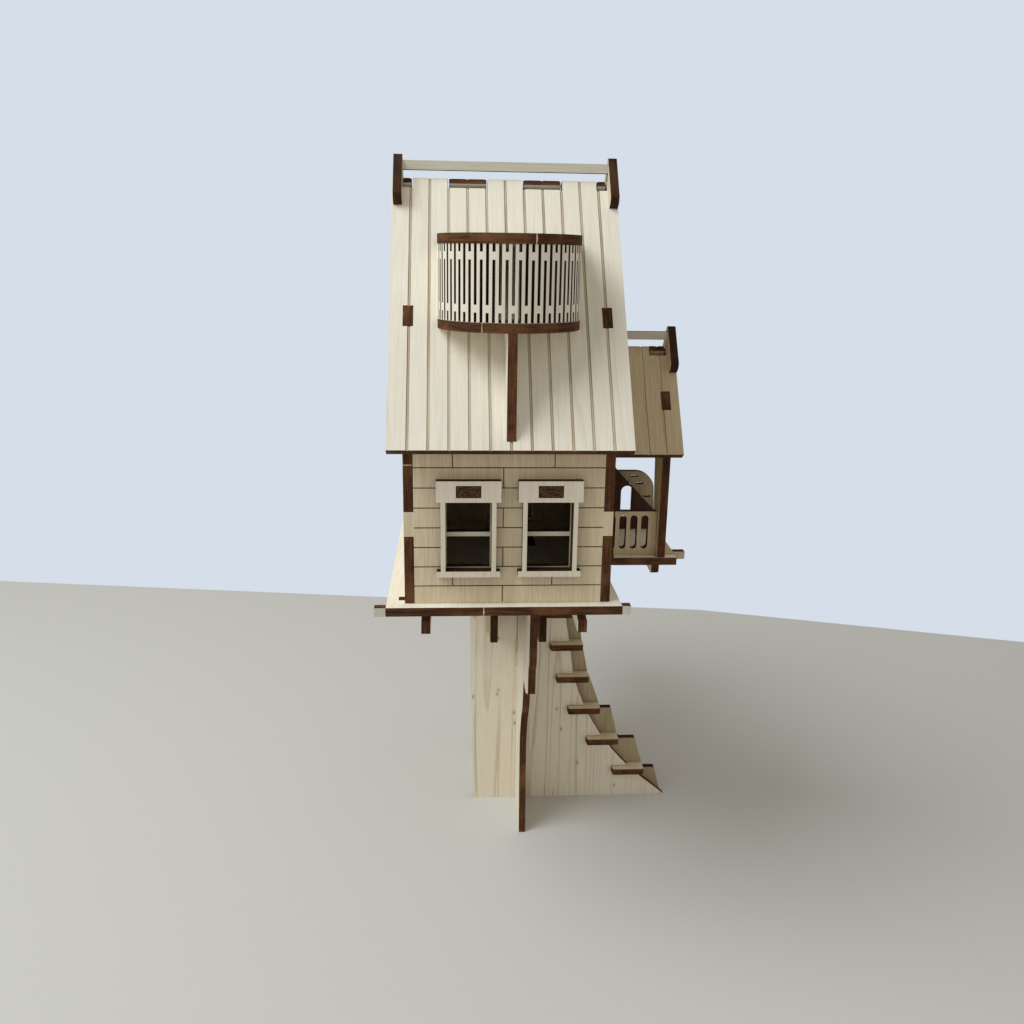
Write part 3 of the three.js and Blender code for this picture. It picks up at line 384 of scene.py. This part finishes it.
def dress_seams():
    """The roof panels' plank seams are counted from each panel's right edge."""
    for name, lie in (
        ("roof_front", SLOPE_FRONT), ("roof_back", SLOPE_BACK),
        ("porch_roof_front", SLOPE_FRONT), ("porch_roof_back", SLOPE_BACK),
    ):
        right_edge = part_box(name)[1].x
        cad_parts[name].data.materials[GROOVE] = make_seam(f"seam_{name}", lie, right_edge)


def make_peg_end():
    """Burnt end grain with a few pale torn fibres."""
    material = bpy.data.materials.new("peg_end_grain")
    nodes = Nodes(material)
    moved, _ = grain_space(nodes, FRONT, 1.0)
    char = nodes.noise(scaled(nodes, moved, 0.7, 1.0, 1.6), 1.1, 4.0)
    torn = nodes.noise(scaled(nodes, moved, 0.9, 1.0, 2.6), 2.2, 3.0)
    tone = nodes.mix(nodes.remap(char, 0.35, 0.65), rgba(44, 29, 20), rgba(82, 57, 39))
    tone = nodes.mix(nodes.math("MULTIPLY", nodes.remap(torn, 0.55, 0.66), 0.55), tone, rgba(146, 124, 98))
    shader(nodes, tone, nodes.remap(char, 0.3, 0.7, 0.8, 0.95), nodes.bump(torn, 0.8, 0.12 * MM), 0.1)
    return material


def dress_pegs():
    end_grain = make_peg_end()
    for place in ("front_left", "front_right", "right"):
        give_slots(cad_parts[f"window_peg_{place}"].data, [end_grain])


def dress_screen():
    """The bay's screen is bent: its faces are those that look along the radius."""
    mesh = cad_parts["bay_screen"].data
    give_slots(mesh, sheet_materials("roof", FRONT))
    low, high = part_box("bay_screen")
    outer = (high.x - low.x) / 2
    centre = Vector(((low.x + high.x) / 2, low.y + outer))
    for polygon in mesh.polygons:
        spot = polygon.center.xy - centre
        spot = Vector((spot.x, min(spot.y, 0.0)))
        across = spot.normalized()
        faces_out = abs(polygon.normal.xy.dot(across)) > 0.9
        radius = spot.length
        on_face = min(abs(radius - outer), abs(radius - outer + SHEET)) < BEND_TOLERANCE
        polygon.material_index = FACE if faces_out and on_face else EDGE


dress_seams()
dress_pegs()
dress_screen()


# ---- Cutting nibs ----
NIB_DEPTH = 0.05 * MM
DECK_NIB = 32.0 * MM  # from the deck's left end
BAY_FLOOR_NIB = -9.3 * MM  # from the middle of the bay
BAY_TOP_NIB = 6.7 * MM
GABLE_NIB = 46.9 * MM  # above the deck


def make_nib_wood():
    material = bpy.data.materials.new("torn_nib_wood")
    nodes = Nodes(material)
    moved, _ = grain_space(nodes, FRONT, 1.0)
    fibre = nodes.noise(scaled(nodes, moved, 1.0, 1.0, 0.4), 3.0, 3.0)
    tone = nodes.mix(nodes.remap(fibre, 0.35, 0.65), rgba(176, 146, 116), rgba(226, 208, 184))
    shader(nodes, tone, nodes.remap(fibre, 0.3, 0.7, 0.75, 0.9), nodes.bump(fibre, 0.6, 0.05 * MM), 0.15)
    return material


def nib_outline(start, end, width, lean):
    """A thin torn mark from one edge of a sheet to the other, widest in the middle."""
    start, end = Vector(start), Vector(end)
    across = (end - start).normalized().cross(Vector((0, -1, 0)))
    half = across * width / 2
    middle = (start + end) / 2 + across * lean
    return [
        start - half * 0.7, start + half * 0.7, middle + half,
        end + half * 0.6, end - half * 0.6, middle - half,
    ]


def nib_outlines():
    """Where the bridges that held the pieces in their sheet were broken: a mark on the edge of the deck, of
    the bay's two plates and of the left gable wall."""
    deck_low, deck_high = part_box("main_deck")
    deck_x = deck_low.x + DECK_NIB
    deck_ends = [(deck_x, deck_low.y, z) for z in (deck_low.z, deck_high.z)]
    outlines = [nib_outline(*deck_ends, 0.5 * MM, 0.1 * MM)]
    bay_low, bay_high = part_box("bay_floor")
    bay_radius = (bay_high.x - bay_low.x) / 2
    for plate, at in (("bay_floor", BAY_FLOOR_NIB), ("bay_top", BAY_TOP_NIB)):
        low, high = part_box(plate)
        x = (bay_low.x + bay_high.x) / 2 + at
        front = low.y + bay_radius - math.sqrt(bay_radius ** 2 - at ** 2)
        outlines.append(nib_outline((x, front, low.z), (x, front, high.z), 0.45 * MM, 0.1 * MM))
    gable_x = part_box("gable_wall_left")[0].x
    wall_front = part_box("front_wall")[0].y
    gable_ends = [(x, wall_front, deck_high.z + GABLE_NIB) for x in (gable_x, gable_x + SHEET)]
    return [*outlines, nib_outline(*gable_ends, 0.35 * MM, 0.08 * MM)]


def make_nibs():
    """One thin closed solid for each mark, half sunk in the burnt edge."""
    vertices = []
    faces = []
    for outline in nib_outlines():
        first = len(vertices)
        count = len(outline)
        vertices += [point - Vector((0, NIB_DEPTH, 0)) for point in outline]
        vertices += [point + Vector((0, NIB_DEPTH, 0)) for point in outline]
        faces.append(tuple(first + i for i in range(count)))
        faces.append(tuple(first + count + i for i in reversed(range(count))))
        for i in range(count):
            after = (i + 1) % count
            faces.append((first + after, first + i, first + count + i, first + count + after))
    mesh = bpy.data.meshes.new("cutting_nibs")
    mesh.from_pydata(vertices, [], faces)
    mesh.materials.append(make_nib_wood())
    nibs = bpy.data.objects.new("cutting_nibs", mesh)
    bpy.context.collection.objects.link(nibs)
    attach(nibs, "house")


make_nibs()


# ---- Stage, light and camera ----
def make_table_top():
    """Pale matt table, with a very faint weave."""
    material = bpy.data.materials.new("pale_floor")
    nodes = Nodes(material)
    place = nodes.add("ShaderNodeTexCoord").outputs["Object"]
    weave = nodes.noise(place, 900.0, 2.0)
    colour = rgba(208, 207, 202)
    darker = tuple(c * 0.94 for c in colour[:3]) + (1.0,)
    shader(nodes, nodes.mix(weave, colour, darker), 0.95, nodes.bump(weave, 0.2, 0.1 * MM), 0.1)
    return material


TABLE_NEAR_EDGE = [(-1.6, -0.8), (1.3, -0.8)]
TABLE_FAR_EDGE = [(1.3, -0.10), (0.331, 0.19), (0.147, 0.247), (-0.096, 0.280), (-0.376, 0.319), (-1.6, 0.49)]


def make_floor():
    mesh = bpy.data.meshes.new("floor")
    outline = [*TABLE_NEAR_EDGE, *TABLE_FAR_EDGE]
    mesh.from_pydata([(x, y, 0) for x, y in outline], [], [tuple(range(len(outline)))])
    floor = bpy.data.objects.new("floor", mesh)
    floor.location.z = -0.02 * MM
    bpy.context.collection.objects.link(floor)
    mesh.materials.append(make_table_top())


WINDOW_LIGHT = {"at": (-0.66, -0.31, 0.95), "aim": (0, 0, 0.16), "size": 0.75, "power": 8.4}


def add_window_light():
    """A round, slightly blue light, up on the left and a little in front."""
    data = bpy.data.lights.new("window_light", "AREA")
    data.shape = "DISK"
    data.size = WINDOW_LIGHT["size"]
    data.energy = WINDOW_LIGHT["power"]
    data.color = (0.92, 0.97, 1.0)
    lamp = bpy.data.objects.new("window_light", data)
    lamp.location = WINDOW_LIGHT["at"]
    beam = Vector(WINDOW_LIGHT["aim"]) - Vector(WINDOW_LIGHT["at"])
    lamp.rotation_euler = beam.to_track_quat("-Z", "Y").to_euler()
    bpy.context.collection.objects.link(lamp)


def make_sky():
    """Soft light from everywhere, and a pale background behind the table that only the camera sees."""
    world = bpy.data.worlds.new("soft_daylight")
    bpy.context.scene.world = world
    world.use_nodes = True
    tree = world.node_tree
    room = tree.nodes["Background"]
    room.inputs["Color"].default_value = (1.0, 0.965, 0.90, 1.0)
    room.inputs["Strength"].default_value = 0.47
    behind = tree.nodes.new("ShaderNodeBackground")
    behind.inputs["Color"].default_value = rgba(213, 222, 233)
    path = tree.nodes.new("ShaderNodeLightPath")
    choose = tree.nodes.new("ShaderNodeMixShader")
    tree.links.new(path.outputs["Is Camera Ray"], choose.inputs[0])
    tree.links.new(room.outputs[0], choose.inputs[1])
    tree.links.new(behind.outputs[0], choose.inputs[2])
    tree.links.new(choose.outputs[0], tree.nodes["World Output"].inputs["Surface"])


def make_camera():
    eye = Vector((-38.32, -387.86, 254.69)) * MM
    ahead = Vector((0.06305, 0.96118, -0.26863))
    up = Vector((0.00232, 0.26902, 0.96313))
    right = ahead.cross(up)
    data = bpy.data.cameras.new("camera")
    data.lens = 32.06
    data.sensor_width = 36.0
    data.clip_start = 0.01
    camera = bpy.data.objects.new("camera", data)
    turn = Matrix((right, up, -ahead)).transposed().to_4x4()
    camera.matrix_world = Matrix.Translation(eye) @ turn
    bpy.context.collection.objects.link(camera)
    bpy.context.scene.camera = camera


make_floor()
add_window_light()
make_sky()
make_camera()
bpy.context.scene.view_settings.view_transform = "Standard"
